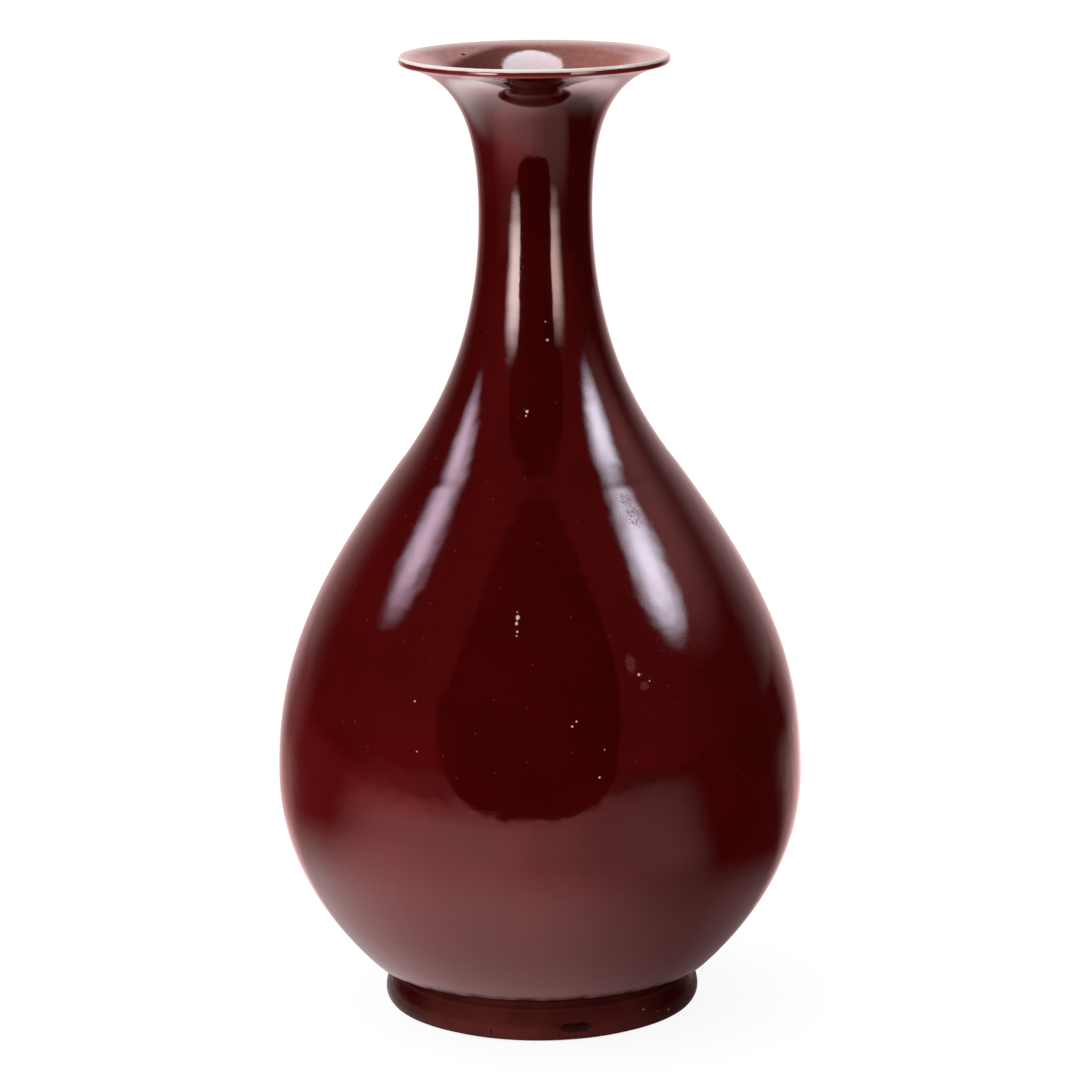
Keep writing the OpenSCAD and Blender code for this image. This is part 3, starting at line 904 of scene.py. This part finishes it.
def towards(azimuth, elevation):
    """Unit vector: azimuth 0 is the camera's side and grows to the right, elevation is above level."""
    a, e = radians(azimuth), radians(elevation)
    return Vector((sin(a) * cos(e), -cos(a) * cos(e), sin(e)))


def lamp(name, centre, azimuth, elevation, distance, size, radiance, tint, core, wedge=False):
    """Softbox facing a point: even in its core, then falling smoothly to its rim, which is an oval, or a
    wedge that narrows along the lamp's second side; the camera and matt surfaces don't see it."""
    data = bpy.data.lights.new(name, "AREA")
    data.shape = "RECTANGLE"
    data.size, data.size_y = size
    data.color = tint
    data.energy = radiance * pi * size[0] * size[1]
    data.use_nodes = True
    tree = data.node_tree
    glow = next(n for n in tree.nodes if n.type == "EMISSION")
    place = add(tree, "ShaderNodeNewGeometry").outputs["Parametric"]
    place = vectors(tree, "SUBTRACT", place, (0.5, 0.5, 0.0))
    off = vectors(tree, "LENGTH", place)
    if wedge:
        split = add(tree, "ShaderNodeSeparateXYZ", Vector=place)
        taper = ramp(tree, split.outputs["Y"], 0.5, -0.5, 0.0, 0.5, smooth=False)
        off = plus(tree, maths(tree, "ABSOLUTE", split.outputs["X"]), taper)
    feed(tree, glow.inputs["Strength"], ramp(tree, off, 0.5 * core, 0.5, 1.0, 0.0))
    obj = bpy.data.objects.new(name, data)
    way = towards(azimuth, elevation)
    obj.matrix_world = Matrix.Translation(Vector(centre) + way * distance) @ \
        way.to_track_quat("Z", "Y").to_matrix().to_4x4()
    obj.visible_camera = obj.visible_diffuse = False
    bpy.context.scene.collection.objects.link(obj)
    return obj


def bare_tree(owner, output):
    """Node tree of a material or world with only its output node, and that node's Surface socket."""
    owner.use_nodes = True
    tree = owner.node_tree
    tree.nodes.clear()
    return tree, tree.nodes.new(output).inputs["Surface"]


def dark_card(name, corners, y):
    """Upright dark card before the vase, its corners cut round three times, that only mirrors can see."""
    flat = np.array(corners, float)
    for _ in range(3):
        ahead = np.roll(flat, -1, axis=0)
        flat = np.stack([0.75 * flat + 0.25 * ahead, 0.25 * flat + 0.75 * ahead], axis=1).reshape(-1, 2)
    count = len(flat)
    ring = np.column_stack([flat[:, 0], np.full(count, y), flat[:, 1]])
    fan = np.stack([np.zeros(count - 2, int), np.arange(1, count - 1), np.arange(2, count)], axis=-1)
    obj = mesh_object(name, ring, np.zeros((0, 4), int), fan)
    made = bpy.data.materials.new("Dark card")
    tree, surface = bare_tree(made, "ShaderNodeOutputMaterial")
    glow = add(tree, "ShaderNodeEmission", Color=(0.02, 0.0, 0.0, 1.0), Strength=1.0)
    feed(tree, surface, glow.outputs[0])
    obj.data.materials.append(made)
    obj.visible_camera = obj.visible_diffuse = obj.visible_shadow = obj.visible_transmission = False


def tinted(tree, *lights):
    """Colour of added lights, each given by its level and the share of it that its green and blue have."""
    red, cool = 0.0, 0.0
    for light, share in lights:
        red = plus(tree, red, light)
        cool = plus(tree, cool, times(tree, light, share))
    return add(tree, "ShaderNodeCombineColor", Red=red, Green=cool, Blue=cool).outputs["Color"]


def lobe(tree, unit, azimuth, half):
    """One towards an azimuth, falling smoothly to nothing half a width of degrees to either side."""
    facing = vectors(tree, "DOT_PRODUCT", unit, tuple(towards(azimuth, 0)))
    return ramp(tree, facing, cos(radians(half)), 1.0)


# Each lobe is a painted pool of light on the floor, seen only in the glaze.
FLOOR_LOBES = [  # azimuth, half width, share of green and blue, how it grows and then dies with distance
    (-35, 60, (0.3, 0.6, 0.75, 0.45), (0.1, 0.25, 0.2, 1.15), (0.35, 1.0, 1.0, 0.2)),
    (35, 38, 0.85, (0.1, 0.2, 0.0, 0.5), (0.3, 1.5, 1.0, 0.1)),
    (-85, 60, 0.15, (0.15, 0.3, 0.0, 0.2), (0.6, 2.0, 1.0, 0.0)),
    (180, 70, 0.7, (0.05, 0.15, 0.3, 0.8), (0.15, 0.6, 1.0, 0.0)),
    (180, 42, 0.8, (0.1, 0.6, 0.1, 0.7), (2.0, 6.0, 1.0, 0.8)),
    (-147, 27, 0.5, (0.1, 0.4, 0.5, 0.25), (0.4, 4.0, 1.0, 1.0)),
    (152, 22, 0.6, (0.1, 0.3, 0.2, 0.34), (0.4, 4.0, 1.0, 1.0)),
    (142, 28, 0.65, (0.1, 0.2, 0.2, 0.4), (0.3, 0.7, 1.0, 0.0)),
]


def floor_material(studio):
    """Pale floor: white to the camera with a faint shadow, and to mirrors a painted pool of light round the
    vase with lobes, each at an azimuth, that change twice with distance; a painted contact shadow darkens it
    where the foot stands. A lobe's share of green and blue is a number, or changes with distance too."""
    made = bpy.data.materials.new("Pale floor")
    tree, surface = bare_tree(made, "ShaderNodeOutputMaterial")
    here = own_place(tree)
    unit, far = vectors(tree, "NORMALIZE", here), vectors(tree, "LENGTH", here)
    side = vectors(tree, "DOT_PRODUCT", unit, (1.0, 0.0, 0.0))
    # Painted pool of light close round the vase, reaching further to the left.
    painted_near_pool = ramp(tree, far, ramp(tree, side, -1.0, 1.0, 0.30, 0.17, smooth=False), 0.08)
    painted_near_pool = times(tree, painted_near_pool, plus(tree, lobe(tree, unit, -45, 110), 0.3))
    lights = [(painted_near_pool, ramp(tree, far, 0.1, 0.3, 0.88, 0.45)), (0.35 * studio.room_dim, 0.1)]
    for azimuth, half, share, first, last in FLOOR_LOBES:
        part = times(tree, lobe(tree, unit, azimuth, half), ramp(tree, far, *first))
        share = ramp(tree, far, *share) if isinstance(share, tuple) else share
        lights.append((times(tree, part, ramp(tree, far, *last)), share))
    # Painted contact shadow where the foot stands.
    painted_contact_shadow = times(tree, ramp(tree, far, 0.046, 0.052), ramp(tree, far, 0.055, 0.13, 0.6, 1.0))
    mirrored = add(tree, "ShaderNodeEmission", Color=tinted(tree, *lights), Strength=painted_contact_shadow)
    white = add(tree, "ShaderNodeEmission", Color=(1.0, 1.0, 1.0, 1.0), Strength=0.9)
    matt = add(tree, "ShaderNodeBsdfDiffuse", Color=rgba(scaled(studio.floor_white, 0.18)))
    seen = tree.nodes.new("ShaderNodeAddShader")
    mixed = tree.nodes.new("ShaderNodeMixShader")
    path = tree.nodes.new("ShaderNodeLightPath")
    feed(tree, seen.inputs[0], white.outputs[0])
    feed(tree, seen.inputs[1], matt.outputs[0])
    for socket, source in zip(mixed.inputs, (path.outputs["Is Camera Ray"], mirrored.outputs[0],
                                             seen.outputs[0])):
        feed(tree, socket, source)
    feed(tree, surface, mixed.outputs[0])
    return made


def room(scene, studio):
    """World: white to the camera; to mirrors a pale backdrop behind the vase and a dim room before it; to
    matt surfaces a soft light that leans to the left."""
    world = bpy.data.worlds.new("Room")
    scene.world = world
    tree, surface = bare_tree(world, "ShaderNodeOutputWorld")
    way = add(tree, "ShaderNodeTexCoord").outputs["Generated"]
    split = add(tree, "ShaderNodeSeparateXYZ", Vector=way)
    turn = maths(tree, "ARCTAN2", split.outputs["X"], times(tree, split.outputs["Y"], -1.0))
    off = maths(tree, "ABSOLUTE", plus(tree, turn, radians(2)))
    behind = ramp(tree, off, radians(118), radians(168), 0.0, studio.backdrop)
    behind = times(tree, behind, ramp(tree, split.outputs["Z"], 0.55, 0.25))
    before = ramp(tree, off, radians(110), radians(50), 0.35 * studio.room_dim, studio.room_dim)
    mirrored = tinted(tree, (before, 0.12), (behind, 0.76))
    lean = vectors(tree, "DOT_PRODUCT", way, (-studio.fill_lean, 0.0, 0.0))
    soft = times(tree, plus(tree, lean, 1.0), studio.room_fill)
    path = tree.nodes.new("ShaderNodeLightPath")
    light = blend(tree, path.outputs["Is Glossy Ray"], soft, mirrored)
    straight = larger(tree, path.outputs["Is Camera Ray"], path.outputs["Is Transmission Ray"])
    light = blend(tree, straight, light, (1.0, 1.0, 1.0))
    glow = add(tree, "ShaderNodeBackground", Color=light, Strength=1.0)
    feed(tree, surface, glow.outputs[0])


FLOOR_REACH = 6.0
CARD_Y = -0.5
CARD_CORNERS = [  # x and z
    (-0.20, 0.0), (0.14, 0.0), (0.27, 0.035), (0.335, 0.20), (0.395, 0.48), (0.37, 0.68), (0.25, 0.86),
    (0.11, 0.92), (-0.11, 0.92), (-0.36, 0.84), (-0.42, 0.58), (-0.465, 0.40), (-0.53, 0.33), (-0.51, 0.20),
    (-0.38, 0.07), (-0.29, 0.01),
]
BELLY, THROAT = (0.0, 0.0, 0.13), (0.0, 0.0, 0.245)
LAMPS = [  # name, point faced, azimuth, elevation, distance, sides, radiance, tint, core, wedge
    ("left_softbox", BELLY, -90, 37.2, 0.8, (0.34, 0.46), 8.8, (0.63, 0.78, 1.0), 0.05),
    ("right_softbox", BELLY, 78.2, 36.8, 0.8, (0.40, 0.44), 16.5, (0.51, 0.84, 1.0), 0.05),
    ("right_glow", BELLY, 100, 33, 0.8, (0.9, 0.6), 0.7, (1.0, 0.6, 0.6), 0.0),
    ("overhead_softbox", (0.02, 0.276, 0.3), 0, 90, 0.92, (1.06, 0.92), 6.3, (0.91, 0.92, 1.0), 0.9, True),
]
NECK_LAMPS = [  # lamps that light the coat of the neck alone
    ("left_strip", THROAT, -38.5, 3, 0.575, (0.42, 0.38), 12.0, (0.74, 1.0, 1.0), 0.2),
    ("right_strip", THROAT, 35, 1, 0.575, (0.42, 0.34), 7.0, (0.80, 1.0, 0.92), 0.1),
    ("low_reflector", (-0.12, 0.22, 0.102), 0, -90, 0.1, (1.1, 1.0), 1.9, (0.87, 1.0, 1.0), 0.0),
]


class VASE_OT_studio(bpy.types.Operator):
    """Makes the pale floor, the room, the dark card, the lamps and the camera"""
    bl_idname = "vase.studio"
    bl_label = "Studio"

    def execute(self, context):
        scene = context.scene
        studio = scene.vase_studio
        scene.view_settings.view_transform = "Standard"
        ends = (-FLOOR_REACH, FLOOR_REACH)
        corners = np.array([(x, y, 0.0) for y in ends for x in ends])
        floor = mesh_object("floor", corners, np.array([[0, 1, 3, 2]]))
        floor.data.materials.append(floor_material(studio))
        room(scene, studio)
        dark_card("dark_card", CARD_CORNERS, CARD_Y)
        for row in LAMPS:
            lamp(*row)
        neck = bpy.data.collections.new("neck_only")
        scene.collection.children.link(neck)
        neck.objects.link(bpy.data.objects["neck_coat"])
        for row in NECK_LAMPS:
            lamp(*row).light_linking.receiver_collection = neck
        data = bpy.data.cameras.new("camera")
        data.sensor_width = 36.0
        data.lens = studio.camera_lens
        data.dof.use_dof = False
        view = bpy.data.objects.new("camera", data)
        view.matrix_world = (Matrix.Translation((0.0, -studio.camera_back, studio.camera_up))
                             @ Matrix.Rotation(studio.camera_yaw, 4, "Z")
                             @ Matrix.Rotation(pi / 2 - studio.camera_pitch, 4, "X")
                             @ Matrix.Rotation(studio.camera_roll, 4, "Z"))
        scene.collection.objects.link(view)
        scene.camera = view
        return {"FINISHED"}


class VASE_PT_panel(bpy.types.Panel):
    """Sidebar panel with the vase's pieces and studio"""
    bl_label = "Vase"
    bl_idname = "VASE_PT_panel"
    bl_space_type = "VIEW_3D"
    bl_region_type = "UI"
    bl_category = "Vase"

    def draw(self, context):
        column = self.layout.column()
        for operator in STEPS:
            column.operator(operator.bl_idname)
        for name in ("vase_sizes", "vase_colours", "vase_studio"):
            values = getattr(context.scene, name)
            for key in values.bl_rna.properties.keys():
                if key not in ("rna_type", "name"):
                    column.prop(values, key)


STEPS = (VASE_OT_outer_coat, VASE_OT_lip_coat, VASE_OT_hollow_coat, VASE_OT_clay, VASE_OT_studio)
GROUPS = {"vase_sizes": VaseSizes, "vase_colours": VaseColours, "vase_studio": VaseStudio}


def register():
    """Registers the property groups, operators and panel."""
    for cls in (*GROUPS.values(), *STEPS, VASE_PT_panel):
        bpy.utils.register_class(cls)
    for name, cls in GROUPS.items():
        setattr(bpy.types.Scene, name, PointerProperty(type=cls))


def unregister():
    """Removes what register added."""
    for name in GROUPS:
        delattr(bpy.types.Scene, name)
    for cls in (VASE_PT_panel, *reversed(STEPS), *reversed(list(GROUPS.values()))):
        bpy.utils.unregister_class(cls)


def main():
    """Makes every piece and the studio."""
    register()
    bpy.ops.vase.outer_coat()
    bpy.ops.vase.lip_coat()
    bpy.ops.vase.hollow_coat()
    bpy.ops.vase.clay()
    bpy.ops.vase.studio()


if __name__ == "__main__":
    main()
